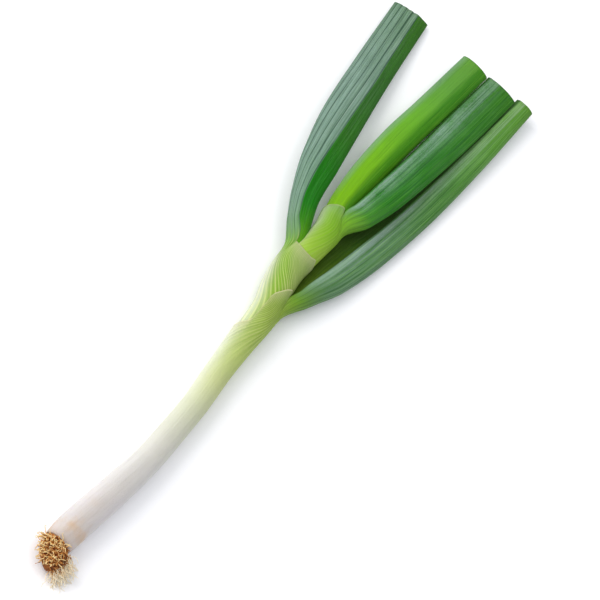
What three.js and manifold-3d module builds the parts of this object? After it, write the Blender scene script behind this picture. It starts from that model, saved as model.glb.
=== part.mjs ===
// One spring onion lying on a table: four leaves, whose sheaths are nested tubes that make the
// white shaft, a basal plate that they all grow from, and the trimmed roots under the plate.
// Millimetres. X runs from the roots to the cut leaf tips, Z is up, and the table is Z = 0.
import * as THREE from "three";
import Module from "manifold-3d";

const wasm = await Module();
wasm.setup();

// ---- Driving dimensions ----
const SIDES = 16; // points round a leaf
const STEPS = 2; // rings between two stations
const GAP = 0.3; // clearance between neighbouring pieces
const SHEATH_WALL = 1.1; // thickness of one leaf sheath
const BLADE_WALL = 0.9; // thickness of the wall of a hollow blade
const SHAFT_START = -212; // where the sheaths meet the basal plate
const PLATE_RADIUS = 7.6;
const PLATE_HEIGHT = 7;
const ROOT_RADIUS = 0.7;

// The white shaft, root end to collar: centre x, y, z and outer radius.
const SHAFT = [
  [SHAFT_START, 11.8, 9.3, 8.2],
  [-200, 11.0, 9.4, 9.2],
  [-170, 7.6, 9.2, 9.0],
  [-134, 4.8, 8.8, 8.0],
  [-100, 5.3, 8.6, 7.6],
  [-70, 8.0, 8.8, 7.8],
  [-46, 9.6, 9.1, 8.6],
  [-32, 10.2, 9.3, 9.2],
];

// Each leaf above the shaft: centre x, y, z, half width, half thickness.
// The sheath of a leaf is `layer` walls inside the shaft's surface.
const LEAVES = {
  leaf_outer: {
    layer: 0,
    free: [
      [-20, 9.0, 9.4, 9.1, 9.1],
      [-8, 3.8, 9.0, 7.4, 8.2],
      [6, -2.6, 8.2, 6.2, 7.2],
      [26, -8.4, 6.8, 8.4, 5.8],
      [58, -13.6, 5.2, 9.8, 4.8],
      [100, -18.9, 5.0, 9.5, 4.2],
      [150, -22.5, 6.8, 8.5, 3.6],
      [207, -25.4, 9.6, 6.6, 3.2],
    ],
    hollowFrom: 4,
    color: 0x4f8f52,
  },
  leaf_left: {
    layer: 1,
    free: [
      [-20, 11.6, 9.8, 8.6, 8.2],
      [-6, 14.6, 10.8, 9.9, 9.0],
      [9, 17.0, 12.2, 10.5, 9.6],
      [20, 21.0, 13.6, 9.4, 8.8],
      [33, 29.4, 15.0, 7.6, 7.0],
      [50, 37.4, 16.0, 8.9, 6.0],
      [76, 45.0, 16.0, 12.0, 5.0],
      [112, 52.6, 13.6, 13.4, 4.4],
      [156, 58.8, 8.2, 12.9, 3.7],
      [208, 65.0, 3.4, 12.4, 3.2],
    ],
    hollowFrom: 6,
    color: 0x4b7f66,
  },
  leaf_right: {
    layer: 2,
    free: [
      [-20, 11.4, 9.8, 7.0, 6.8],
      [-6, 14.2, 10.8, 7.9, 7.6],
      [9, 16.0, 12.2, 8.6, 8.2],
      [26, 15.0, 13.2, 8.7, 8.7],
      [40, 14.2, 14.0, 8.7, 8.7],
      [51, 11.6, 15.4, 8.0, 8.0],
      [66, 4.5, 16.4, 7.6, 6.4],
      [90, 0.8, 16.8, 9.4, 5.2],
      [127, -2.9, 14.9, 10.3, 4.2],
      [164, -5.5, 13.0, 11.0, 3.6],
      [204, -7.9, 11.8, 10.9, 3.2],
    ],
    hollowFrom: 7,
    color: 0x3f8a45,
  },
  leaf_centre: {
    layer: 3,
    free: [
      [-20, 11.4, 9.8, 5.6, 5.4],
      [-6, 14.2, 10.8, 6.4, 6.2],
      [9, 16.0, 12.2, 7.1, 6.8],
      [26, 15.0, 13.2, 7.3, 7.3],
      [40, 14.6, 13.8, 7.3, 7.3],
      [53, 17.0, 13.8, 7.2, 7.0],
      [68, 18.8, 13.2, 8.0, 6.6],
      [90, 19.4, 12.6, 9.5, 6.0],
      [122, 18.8, 12.2, 10.2, 5.4],
      [156, 16.4, 11.6, 9.8, 4.6],
      [204, 13.4, 10.4, 9.6, 4.0],
    ],
    hollowFrom: 7,
    color: 0x7cc32e,
  },
};

// Rings of trimmed roots on the plate: how many, how far out, how long, how far they lean out.
const ROOT_RINGS = [
  { count: 1, radius: 0, length: 4.4, lean: 0 },
  { count: 6, radius: 3.1, length: 4.6, lean: 0.25 },
  { count: 12, radius: 6.2, length: 4.6, lean: 0.7 },
];
// In the outer ring the places from FIRST_LONG to LAST_LONG are longer roots that trail down
// to the table and spread out on it like a fan.
const FIRST_LONG = 6;
const LAST_LONG = 9;
const LONG_REACH = 11;
const LONG_FAN = Math.PI / 9; // turn from one long root to the next

// ---- Geometry ----

// Rings of points round a smooth line through `stations`, capped at both ends.
// A station is [x, y, z, half width, half thickness]; `grow` is added to both halves.
function loft(stations, { grow = 0, sides = SIDES, steps = STEPS } = {}) {
  const line = new THREE.CatmullRomCurve3(stations.map(([x, y, z]) => new THREE.Vector3(x, y, z)));
  const halves = new THREE.CatmullRomCurve3(
    stations.map(([, , , wide, thick]) => new THREE.Vector3(wide + grow, thick + grow, 0)),
  );
  const up = new THREE.Vector3(0, 0, 1);
  const rings = (stations.length - 1) * steps;
  const positions = [];
  for (let ring = 0; ring <= rings; ring += 1) {
    const centre = line.getPoint(ring / rings);
    const along = line.getTangent(ring / rings);
    const half = halves.getPoint(ring / rings);
    const across = new THREE.Vector3().crossVectors(up, along).normalize();
    const over = new THREE.Vector3().crossVectors(along, across);
    for (let side = 0; side < sides; side += 1) {
      const angle = (2 * Math.PI * side) / sides;
      const point = centre.clone();
      point.addScaledVector(across, half.x * Math.cos(angle));
      point.addScaledVector(over, half.y * Math.sin(angle));
      positions.push(...point.toArray());
    }
  }
  positions.push(...line.getPoint(0).toArray(), ...line.getPoint(1).toArray());
  return closedTube(positions, rings, sides);
}

// Triangles for `rings` + 1 rings of `sides` points, with the two cap centres last.
function closedTube(positions, rings, sides) {
  const index = [];
  const firstCap = (rings + 1) * sides;
  for (let side = 0; side < sides; side += 1) {
    const next = (side + 1) % sides;
    for (let ring = 0; ring < rings; ring += 1) {
      const here = ring * sides;
      const ahead = here + sides;
      index.push(here + side, ahead + next, ahead + side);
      index.push(here + side, here + next, ahead + next);
    }
    index.push(firstCap, next, side);
    index.push(firstCap + 1, rings * sides + side, rings * sides + next);
  }
  const geometry = new THREE.BufferGeometry();
  geometry.setAttribute("position", new THREE.Float32BufferAttribute(positions, 3));
  geometry.setIndex(index);
  return geometry;
}

function toSolid(geometry) {
  return new wasm.Manifold(
    new wasm.Mesh({
      numProp: 3,
      vertProperties: new Float32Array(geometry.attributes.position.array),
      triVerts: new Uint32Array(geometry.index.array),
    }),
  );
}

function toGeometry(solid) {
  const { vertProperties, triVerts } = solid.getMesh();
  const geometry = new THREE.BufferGeometry();
  geometry.setAttribute("position", new THREE.Float32BufferAttribute(vertProperties, 3));
  geometry.setIndex([...triVerts]);
  geometry.computeVertexNormals();
  return geometry;
}

// ---- Leaves ----

// The shaft's stations, drawn in by one wall and one gap for each layer, then the free part.
function stationsOf(leaf) {
  const inset = leaf.layer * (SHEATH_WALL + GAP);
  const sheath = SHAFT.map(([x, y, z, radius]) => [x, y, z, radius - inset, radius - inset]);
  return [...sheath, ...leaf.free];
}

// A copy of `stations` that reaches `reach` further past one end, so a cut goes right through.
function past(stations, end, reach) {
  const [x, y, z, wide, thick] = stations.at(end);
  const longer = [x + reach, y, z, wide, thick];
  return end === 0 ? [longer, ...stations] : [...stations, longer];
}

// A leaf is its outer form, less the next leaf inside it and the hollow of its blade.
function leafGeometry(leaf, inner) {
  const stations = stationsOf(leaf);
  const hollow = past(leaf.free.slice(leaf.hollowFrom), -1, 4);
  let solid = toSolid(loft(stations)).subtract(toSolid(loft(hollow, { grow: -BLADE_WALL })));
  if (inner) {
    const passage = loft(past(stationsOf(inner), 0, -4), { grow: GAP });
    solid = solid.subtract(toSolid(passage));
  }
  return toGeometry(solid);
}

// ---- Root end ----

const plateCentre = new THREE.Vector3(...SHAFT[0].slice(0, 3));
// The shaft leaves the plate along this line; the plate and roots face the other way.
const plateTurn = Math.atan2(SHAFT[1][1] - SHAFT[0][1], SHAFT[1][0] - SHAFT[0][0]);

// How far the plate's domed face stands out at a distance from its middle.
function domeHeight(radius) {
  return PLATE_HEIGHT * Math.sqrt(1 - (radius / PLATE_RADIUS) ** 2 * 0.9);
}

function plateGeometry() {
  const outline = [new THREE.Vector2(0, 0), new THREE.Vector2(PLATE_RADIUS, 0)];
  for (let step = 0; step <= 6; step += 1) {
    const radius = PLATE_RADIUS * (1 - step / 6);
    outline.push(new THREE.Vector2(radius, domeHeight(radius)));
  }
  return new THREE.LatheGeometry(outline, 24);
}

// The direction out from the middle of the plate at an angle round it.
function outwardAt(angle) {
  return new THREE.Vector3(0, Math.cos(angle), Math.sin(angle));
}

// Where a root leaves the dome.
function rootStart(outward, radius, lean) {
  return outward.clone().multiplyScalar(radius).setX(-domeHeight(radius) - 2 * GAP * (1 + lean));
}

// A tapered root along a bend from start to end.
function rootGeometry(start, bend, end) {
  const line = new THREE.QuadraticBezierCurve3(start, bend, end);
  const stations = line.getPoints(4).map((point, step) => {
    const size = ROOT_RADIUS * (1 - 0.12 * step);
    return [...point.toArray(), size, size];
  });
  return loft(stations, { sides: 6, steps: 1 });
}

function shortRoot(angle, { radius, length, lean }) {
  const outward = outwardAt(angle);
  const start = rootStart(outward, radius, lean);
  const end = start.clone().addScaledVector(outward, length * lean);
  end.x -= length * (1 - 0.5 * lean);
  const bend = start.clone().lerp(end, 0.5).setX(start.x - 0.7 * length * (1 - 0.5 * lean));
  return rootGeometry(start, bend, end);
}

// A root that leaves the plate, sinks to the table and lies along it, turned from the right.
function longRoot(angle, { radius, lean }, turn) {
  const start = rootStart(outwardAt(angle), radius, lean);
  const way = new THREE.Vector3(-Math.sin(turn), -Math.cos(turn), 0);
  const bend = start.clone().addScaledVector(way, 0.5 * LONG_REACH);
  const end = start.clone().addScaledVector(way, LONG_REACH);
  end.z = ROOT_RADIUS - plateCentre.z;
  bend.z = end.z;
  return rootGeometry(start, bend, end);
}

const onion = new THREE.Group();

function addPiece(name, geometry, color, roughness, parent = onion) {
  const material = new THREE.MeshStandardMaterial({ color, roughness, metalness: 0 });
  const mesh = new THREE.Mesh(geometry, material);
  mesh.name = name;
  parent.add(mesh);
  return mesh;
}

const leafNames = Object.keys(LEAVES);
leafNames.forEach((name, place) => {
  const inner = LEAVES[leafNames[place + 1]];
  addPiece(name, leafGeometry(LEAVES[name], inner), LEAVES[name].color, 0.5);
});

const rootEnd = new THREE.Group();
rootEnd.position.copy(plateCentre);
rootEnd.rotation.z = plateTurn;
onion.add(rootEnd);

const plate = addPiece("basal_plate", plateGeometry(), 0x8a5a2c, 0.9, rootEnd);
plate.rotation.z = Math.PI / 2;
plate.position.x = -GAP;

let rootCount = 0;
function addRoot(kind, geometry) {
  rootCount += 1;
  const name = `${kind}_${String(rootCount).padStart(2, "0")}`;
  addPiece(name, geometry, 0xc0894a, 0.95, rootEnd).position.x = -GAP;
}

const outerRing = ROOT_RINGS.at(-1);
for (const ring of ROOT_RINGS) {
  for (let place = 0; place < ring.count; place += 1) {
    const angle = (2 * Math.PI * place) / ring.count;
    const trails = ring === outerRing && place >= FIRST_LONG && place <= LAST_LONG;
    if (trails) {
      addRoot("long_root", longRoot(angle, ring, LONG_FAN * (place - FIRST_LONG + 0.5)));
    } else {
      addRoot("root", shortRoot(angle, ring));
    }
  }
}

// The origin is the middle of the onion's outline on the table.
const MIDDLE = { x: -9.6, y: 22.9 };
onion.position.set(-MIDDLE.x, -MIDDLE.y, 0);

export default onion;
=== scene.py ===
import math

import bmesh
import bpy
import numpy as np
from mathutils import Matrix, Vector, noise


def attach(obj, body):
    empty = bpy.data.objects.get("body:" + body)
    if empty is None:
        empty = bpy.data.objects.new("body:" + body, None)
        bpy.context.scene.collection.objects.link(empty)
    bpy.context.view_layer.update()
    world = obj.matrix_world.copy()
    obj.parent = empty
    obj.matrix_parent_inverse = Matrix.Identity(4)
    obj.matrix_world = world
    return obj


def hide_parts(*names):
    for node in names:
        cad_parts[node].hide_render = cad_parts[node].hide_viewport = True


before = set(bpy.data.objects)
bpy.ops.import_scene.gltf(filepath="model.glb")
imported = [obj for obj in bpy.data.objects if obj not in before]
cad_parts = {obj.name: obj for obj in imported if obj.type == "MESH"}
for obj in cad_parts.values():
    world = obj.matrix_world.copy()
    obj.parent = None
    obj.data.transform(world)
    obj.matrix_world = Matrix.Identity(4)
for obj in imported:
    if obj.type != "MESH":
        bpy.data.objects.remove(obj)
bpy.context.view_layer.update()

# A spring onion lying on a table: four nested leaves, a basal plate and its roots.
# X runs from the roots to the leaf tips, Y across the bunch and Z up. The leaves and the plate are worked
# out in millimetres from the middle of the collar, and COLLAR and MM move them into the frame, in metres.
MM = 0.001
GROUND = 0.0
COLLAR = np.array((9.6, -22.9, 0.0))
FOOT = -212.0
REACH = 420.0
SHAFT_TOP = -64.0

# ---------------- tables of the leaves

# The white shaft: place along, across, height and radius.
SHAFT = (
    (-212, 11.8, 9.3, 8.2), (-206, 11.4, 9.3, 8.9), (-200, 11.0, 9.4, 9.2),
    (-170, 7.6, 9.2, 9.0), (-134, 4.8, 8.8, 8.0), (-100, 5.3, 8.6, 7.6),
    (-70, 8.0, 8.8, 7.8), (-46, 9.6, 9.1, 8.6), (-32, 10.2, 9.3, 9.2),
)

# A table that stays at nought all along a leaf.
NOUGHT = ((FOOT, 0.0), (FOOT + REACH, 0.0))


def shaft_rows(inset):
    """The shaft as seen by one leaf: its own radius is smaller by the leaves that lie over it."""
    return [(x, y, z, r - inset, r - inset) for x, y, z, r in SHAFT]


# What each leaf's keys say. Tables start with the place along. Angles are in degrees: 0 is +Y, and 90 is up.
# - node: the CAD node that the leaf stands for
# - midline: the angle of the leaf's midline round the shaft
# - notch: half the angle of the ring that becomes the blade
# - split, lead: where the blade leaves the sheath, and how far before that it loosens
# - cover: half the angle of the blade's section that its outer face covers
# - pale, vivid: streaks of pale and of strong colour: their angle, spread and strength; the pale ones on the
#   side towards the light are partly the sheath's own colour and partly painted highlight, and the vivid one
#   on the outer leaf's white shaft is painted shade in grey along its top
# - turn: how far the midline turns round the blade's section
# - folds: the angle and depth of each fold that runs along the blade
# - crest: how far the blade's upper margin stands up
# - flange: how far the blade's inner face spreads towards the sheath beside it
# - sheath: its rings: across, height, half width, half height
# - blade: its sections: across, height, half width, half height, sharpness of the edges
# - rim: the free edge of the sheath: here the angle from the midline, then the place along
LEAVES = {
    "outer_leaf": {
        "node": "leaf_outer", "midline": 180.0, "notch": 36.0, "split": -14.0, "lead": 30.0, "cover": 132.0,
        # pale streaks on the side towards the light: partly pale skin and partly painted highlight
        "pale": (
            (-212, 10, 55, 0.0), (-120, 10, 52, 0.25), (-80, 8, 52, 0.65), (-45, 5, 50, 0.85),
            (-24, 5, 50, 0.2), (9, 5, 50, 0),
        ),
        # the vivid streak's first rows are painted shade, in grey, along the top of the white shaft
        "vivid": (
            (-212, 96, 46, 0.9), (-150, 98, 46, 0.75), (-110, 104, 44, 0.5), (-80, 120, 44, 0.25),
            (-40, 140, 50, 0.3), (-12, 145, 40, 0.4), (6, 150, 40, 0.0), (9, 150, 40, 0.0),
        ),
        "crest": ((-60, 0.0), (-10, 0.6), (10, 1.3), (40, 1.2), (80, 0.5), (207, 0.3)),
        "flange": (
            (-60, 0.0), (-10, 0.0), (2, 4.0), (14, 8.5), (30, 12.0), (50, 12.0), (70, 8.0), (96, 0.0),
            (207, 0.0),
        ),
        "sheath": shaft_rows(0.0) + [
            (-20, 11.6, 9.8, 9.4, 9.1), (-6, 14.6, 10.8, 10.7, 9.8), (9, 17.0, 12.2, 11.3, 10.4),
        ],
        "blade": (
            (-60, 6.2, 9.0, 4.6, 7.4, 0.0), (-44, 4.2, 9.1, 3.4, 7.0, 0.0),
            (-20, 2.9, 9.0, 3.0, 6.8, 0.0), (-8, 0.8, 8.7, 4.1, 6.9, 0.05),
            (6, -2.7, 8.2, 6.1, 6.8, 0.1), (26, -8.2, 6.8, 8.5, 5.6, 0.2),
            (58, -13.8, 5.2, 9.6, 4.7, 0.3), (100, -18.9, 5.0, 9.5, 4.2, 0.4),
            (150, -22.5, 6.8, 8.5, 3.4, 0.5), (207, -25.4, 9.6, 6.4, 2.6, 0.5),
        ),
        "rim": (
            (36, -14), (39, -4.6), (55, -6), (76, -10), (97, -14.6), (105, -22.5), (114, -36), (180, -42),
        ),
    },
    "left_leaf": {
        "node": "leaf_left", "midline": 0.0, "notch": 32.0, "split": 21.4, "lead": 26.0, "cover": 96.0,
        # pale streaks on the side towards the light: partly pale skin and partly painted highlight
        "pale": (
            (-64, 20, 40, 0.5), (-20, 15, 38, 0.8), (4, 5, 34, 0.95), (13, -5, 26, 0.3), (22, -5, 20, 0.0),
        ),
        "vivid": (
            (-64, 85, 36, 0.2), (-20, 85, 34, 0.6), (-8, 86, 32, 0.9), (4, 72, 28, 0.8), (14, 42, 24, 0.8),
            (24, 16, 30, 0.6), (44, 10, 30, 0.0),
        ),
        "turn": ((-20, -26.0), (30, -26.0), (60, -13.0), (84, -1.0), (110, 8.0), (150, 14.0), (208, 13.0)),
        "folds": ((96.0, 0.45), (78.0, 0.5), (58.0, 0.4)),
        "crest": ((-20, 0.0), (20, 0.6), (40, 1.3), (80, 1.2), (150, 0.8), (208, 0.6)),
        "sheath": shaft_rows(1.0) + [
            (-20, 11.6, 9.8, 8.4, 8.1), (-6, 14.6, 10.8, 9.7, 8.9), (9, 16.8, 12.2, 10.2, 9.4),
            (26, 15.2, 13.2, 9.6, 9.6), (40, 14.2, 14.0, 9.6, 9.6),
        ],
        "blade": (
            (-20, 13.6, 9.8, 6.4, 8.0, 0.0), (-6, 17.4, 10.9, 6.9, 8.6, 0.0),
            (9, 20.9, 12.4, 6.6, 8.6, 0.0), (20, 23.6, 13.8, 6.8, 8.0, 0.0),
            (33, 29.4, 15.0, 7.4, 7.0, 0.1), (50, 37.4, 16.0, 8.9, 6.0, 0.2),
            (76, 45.0, 16.0, 12.0, 4.8, 0.35), (112, 52.6, 13.6, 13.4, 4.0, 0.45),
            (156, 58.8, 8.2, 12.9, 3.2, 0.55), (208, 65.0, 3.4, 12.4, 2.5, 0.6),
        ),
        "rim": (
            (32, 21.4), (60, 19.8), (90, 19.0), (118, 19.6), (134, 21.2), (142, 21.6), (152, 20.0),
            (180, 18.0),
        ),
    },
    "right_leaf": {
        "node": "leaf_right", "midline": 180.0, "notch": 66.0, "split": 51.0, "lead": 24.0, "cover": 150.0,
        # pale streaks on the side towards the light: partly pale skin and partly painted highlight
        "pale": ((-64, 10, 30, 0.2), (30, 20, 30, 0.4), (58, 20, 30, 0.4)),
        "vivid": ((-64, 90, 60, 0.3), (26, 100, 45, 0.6), (48, 120, 45, 0.7), (66, 140, 40, 0.0)),
        "crest": ((20, 0.0), (50, 0.5), (66, 1.0), (100, 0.6), (204, 0.3)),
        "sheath": shaft_rows(2.0) + [
            (-20, 11.4, 9.8, 7.3, 7.1), (-6, 14.2, 10.8, 8.2, 7.9), (9, 16.0, 12.2, 8.9, 8.5),
            (26, 15.0, 13.2, 8.8, 8.8), (40, 14.2, 14.0, 8.7, 8.7), (53, 17.0, 13.8, 8.1, 7.9),
            (68, 18.8, 13.2, 8.9, 7.5),
        ],
        "blade": (
            (20, 12.6, 12.9, 6.4, 8.2, 0.0), (34, 11.8, 13.6, 6.4, 8.0, 0.0),
            (51, 8.8, 15.0, 6.7, 7.6, 0.0), (66, 4.5, 16.2, 7.9, 6.5, 0.1),
            (90, 0.8, 16.6, 9.8, 5.2, 0.3), (127, -2.9, 14.6, 10.5, 4.0, 0.45),
            (164, -5.5, 12.6, 11.3, 3.2, 0.55), (204, -7.9, 11.2, 11.2, 2.5, 0.6),
        ),
        "rim": ((66, 51.0), (72, 57.6), (80, 58.2), (120, 56.8), (160, 55), (180, 54)),
    },
    "centre_leaf": {
        "node": "leaf_centre", "midline": 0.0, "split": 40.0, "cover": 90.0,
        "blade": [row + (0.0,) for row in shaft_rows(3.2) + [
            (-20, 11.4, 9.8, 5.6, 5.4), (-6, 14.2, 10.8, 6.4, 6.2), (9, 16.0, 12.2, 7.1, 6.8),
            (26, 15.0, 13.2, 7.3, 7.3), (40, 14.6, 13.8, 7.3, 7.3), (53, 17.0, 13.8, 7.2, 7.0),
            (68, 18.8, 13.2, 8.0, 6.6), (90, 19.4, 12.6, 9.5, 6.0), (122, 18.8, 12.2, 10.2, 5.2),
            (156, 16.4, 11.6, 10.0, 4.3), (204, 13.4, 10.4, 9.9, 3.4),
        ]],
    },
}

# Walls of a sheath, of its rim and round the hollow at a blade's cut tip, and how far back each ring of that
# hollow lies, with the taper of its wall and the length of its closing point.
SHEATH_WALL = 0.75
RIM_WALL = 0.22
RIM_FLARE = 0.15
BLADE_WALL = 0.6
HOLLOW_RINGS = (0.0, 4.0, 12.0, 26.0, 60.0)
HOLLOW_TAPER = 0.01
HOLLOW_POINT = 4.0

# How wide a crest and a fold are round a section, in degrees, and over what length past the split a fold
# deepens.
CREST_SPREAD = 13.0
FOLD_SPREAD = 3.2
FOLD_START = 20.0
FOLD_EASE = 50.0
# The channel's floor round a section: its middle, how far it spreads to each side, how fast it falls off
# there, and the share by which it sinks. UNEVEN is the share by which a blade's height wavers.
CHANNEL_AT = -14.0
CHANNEL_SPREAD = 52.0
CHANNEL_FALL = 1.7
CHANNEL_SINK = 0.25
UNEVEN = 0.05


# ---------------- curves and sections

def smoothstep(t):
    """0 to 1 with an eased start and end."""
    t = np.clip(t, 0.0, 1.0)
    return t * t * (3.0 - 2.0 * t)


def wrapped(angle):
    """An angle in degrees brought between -180 and 180."""
    return (angle + 180.0) % 360.0 - 180.0


def read_table(table, x):
    """Values at x from a table whose first column rises, on a curve that never overshoots its rows."""
    table = np.asarray(table, float)
    keys, rows = table[:, 0], table[:, 1:]
    x = np.asarray(x, float)
    run = np.diff(keys)[:, None]
    rise = np.diff(rows, axis=0) / run
    slope = np.zeros_like(rows)
    before, after = rise[:-1], rise[1:]
    same = before * after > 0
    safe = np.where(same, before + after, 1.0)
    slope[1:-1] = np.where(same, 2.0 * before * after / safe, 0.0)
    slope[0] = rise[0]
    slope[-1] = rise[-1]
    i = np.clip(np.searchsorted(keys, x, side="right") - 1, 0, len(keys) - 2)
    h = (keys[i + 1] - keys[i])[..., None]
    t = np.clip((x[..., None] - keys[i][..., None]) / h, 0.0, 1.0)
    a = (1 + 2 * t) * (1 - t) ** 2 * rows[i] + t * (1 - t) ** 2 * h * slope[i]
    b = t * t * (3 - 2 * t) * rows[i + 1] + t * t * (t - 1) * h * slope[i + 1]
    return a + b


def line_frame(table, x):
    """The centre line's point at x, the directions across and over it, and the table's row there."""
    low, high = table[0][0] + 1.0, table[-1][0] - 1.0
    place = read_table(table, x)
    centre = np.stack([x, place[..., 0], place[..., 1]], -1)
    near = np.clip(x, low, high)
    step = read_table(table, near + 1.0)[..., :2] - read_table(table, near - 1.0)[..., :2]
    tangent = np.stack([np.full_like(x, 2.0), step[..., 0], step[..., 1]], -1)
    tangent /= np.linalg.norm(tangent, axis=-1, keepdims=True)
    across = np.cross((0.0, 0.0, 1.0), tangent)
    across /= np.linalg.norm(across, axis=-1, keepdims=True)
    over = np.cross(tangent, across)
    return centre, across, over, place


def ring_point(table, x, angle, inset):
    """A point of a plain ring round the centre line, inset inwards."""
    centre, across, over, place = line_frame(table, x)
    a = np.radians(angle)
    wide = (place[..., 2] - inset) * np.cos(a)
    high = (place[..., 3] - inset) * np.sin(a)
    return centre + across * wide[..., None] + over * high[..., None]


def ripple(x, angle):
    """A slow unevenness along and round a blade, from -1 to 1."""
    a = np.radians(angle)
    slow = np.sin(x * 0.061 + 1.3) * np.cos(2 * a + 0.4) + np.sin(x * 0.113 + 2.9) * np.sin(3 * a)
    return slow * 0.5


def blade_point(leaf, x, angle, inset):
    """A point of the blade's flattened tube, inset inwards."""
    centre, across, over, place = line_frame(leaf["blade"], x)
    a = np.radians(angle)
    sharp = place[..., 4]
    wide = (place[..., 2] - inset) * np.cos(a)
    high = (place[..., 3] - inset) * np.sin(a) * np.abs(np.sin(a)) ** sharp
    high = high * (1.0 + UNEVEN * ripple(x, angle) * np.clip(sharp * 3.0, 0.0, 1.0))
    # the upper margin stands up as a crest
    crest_at = leaf["midline"] + read_table(leaf.get("turn", NOUGHT), x)[..., 0]
    crest_at += leaf["cover"] if leaf["midline"] == 0.0 else -leaf["cover"]
    away = wrapped(angle - crest_at)
    crest = read_table(leaf.get("crest", NOUGHT), x)[..., 0] * np.exp(-(away / CREST_SPREAD) ** 2)
    wide = wide + crest * np.cos(a)
    high = high + crest * np.sin(a)
    # the inner face spreads towards the sheath beside it, as the floor of a channel
    side = wrapped(angle) - CHANNEL_AT
    falls = np.where(np.abs(side) < CHANNEL_SPREAD, np.cos(np.radians(side) * CHANNEL_FALL), 0.0)
    spread = read_table(leaf.get("flange", NOUGHT), x)[..., 0] * np.clip(falls, 0.0, 1.0)
    wide = wide + spread
    high = high - CHANNEL_SINK * spread * np.clip(np.sin(a) + 0.4, 0.0, 1.0)
    # folds that run the length of the blade
    for fold_at, depth in leaf.get("folds", ()):
        off = wrapped(angle - fold_at)
        groove = depth * np.exp(-(off / FOLD_SPREAD) ** 2)
        groove = groove * smoothstep((x - leaf["split"] - FOLD_START) / FOLD_EASE)
        high = high - groove * np.sin(a)
    return centre + across * wide[..., None] + over * high[..., None]


# ---------------- meshes

# What the skins carry for their finish: 1 on the inner face; 1 at a sheath's rim; -1 to 1 across a blade;
# 1 where the blade is free of its sheath; how pale and how strongly coloured a streak is. The pale streaks
# are partly painted highlight, and the strong colour on the outer leaf's white shaft is painted shade.
VALUES = ("inner_face", "rim", "across", "free", "pale", "vivid")

# Columns over a blade and over each side of its sheath, and how much closer the side's columns lie near the
# blade.
BLADE_COLUMNS = 64
SIDE_COLUMNS = 24
SIDE_CROWDING = 1.35
# Rows up to the free part of a leaf are this far apart, and the free part has close rows first.
ROW_STEP = 1.6
CLOSE_LENGTH = 60.0
CLOSE_ROWS = 44
FAR_ROWS = 46
# The rim: how far below it the rows start to bend towards it, and how far down it thins and tints the wall.
RIM_BEND = 26.0
RIM_THINS = 4.0
RIM_TINT = 6.0
# How far beyond the split a blade is quite free, and the angle between its outer and inner faces.
TRAIL = 15.0
MARGIN = 2.5
# The veins gather from the whole ring into the blade over this stretch before the split.
VEINS_FROM = 60.0
VEINS_EASE = 56.0
# The lengthwise UV of a millimetre.
UV_LENGTH = 0.01


def settle(name, mesh, nodes):
    """Makes a mesh a piece of the onion that stands for CAD nodes."""
    piece = bpy.data.objects.new(name, mesh)
    bpy.context.scene.collection.objects.link(piece)
    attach(piece, "root")
    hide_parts(*nodes)


def finish_mesh(mesh, material):
    """Turns every face of a closed mesh outwards, smooths it and gives it its finish."""
    work = bmesh.new()
    work.from_mesh(mesh)
    bmesh.ops.recalc_face_normals(work, faces=work.faces)
    if work.calc_volume(signed=True) < 0:
        bmesh.ops.reverse_faces(work, faces=work.faces)
    work.to_mesh(mesh)
    work.free()
    mesh.shade_smooth()
    mesh.materials.append(material)


class Shell:
    """Gathers the corners and faces of one closed skin, with a UV place and values for each face corner."""

    def __init__(self):
        self.points = []
        self.faces = []
        self.marks = []

    def add_points(self, points):
        start = len(self.points)
        self.points.extend(points.reshape(-1, 3).tolist())
        return np.arange(start, len(self.points)).reshape(points.shape[:-1])

    def add_face(self, corners, marks):
        self.faces.append([int(c) for c in corners])
        self.marks.append(marks)

    def grid(self, index, marks, flip=False):
        """A sheet of quads; index holds -1 where the sheet has no corner."""
        rows, columns = index.shape
        for i in range(rows - 1):
            for j in range(columns - 1):
                spots = ((i, j), (i + 1, j), (i + 1, j + 1), (i, j + 1))
                if flip:
                    spots = spots[::-1]
                corners = [index[s] for s in spots]
                if min(corners) >= 0 and len(set(corners)) == 4:
                    self.add_face(corners, [marks[s] for s in spots])

    def strip(self, first, second, first_marks, second_marks):
        """Faces between two lines of corners of the same length, which may share corners."""
        for k in range(len(first) - 1):
            corners = [first[k], first[k + 1], second[k + 1], second[k]]
            marks = [first_marks[k], first_marks[k + 1], second_marks[k + 1], second_marks[k]]
            kept = [n for n in range(4) if corners.index(corners[n]) == n]
            if len(kept) >= 3:
                self.add_face([corners[n] for n in kept], [marks[n] for n in kept])

    def close(self, ring, marks, line, place):
        """Triangles from a ring of corners to one point of a centre line."""
        pole = self.add_points(line_frame(line, np.array([place]))[0])[0]
        for k in range(len(ring) - 1):
            self.add_face([ring[k], ring[k + 1], pole], [marks[k], marks[k + 1], marks[k]])

    def drop_unused(self):
        """Leaves out the points that no face uses."""
        used = sorted({c for face in self.faces for c in face})
        new = {old: k for k, old in enumerate(used)}
        self.points = [self.points[c] for c in used]
        self.faces = [[new[c] for c in face] for face in self.faces]

    def leaf(self, name, material):
        """The skin as a finished leaf, in metres in the frame."""
        self.drop_unused()
        mesh = bpy.data.meshes.new(name)
        points = (np.asarray(self.points) + COLLAR) * MM
        mesh.from_pydata(points.tolist(), [], self.faces)
        flat = np.asarray([m for face in self.marks for m in face], float)
        uv = mesh.uv_layers.new(name="leaf")
        uv.data.foreach_set("uv", flat[:, :2].astype(np.float32).ravel())
        for k, label in enumerate(VALUES):
            layer = mesh.attributes.new(label, "FLOAT", "CORNER")
            layer.data.foreach_set("value", flat[:, 2 + k].astype(np.float32))
        mesh.validate()
        finish_mesh(mesh, material)
        settle(name, mesh, [LEAVES[name]["node"]])


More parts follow.
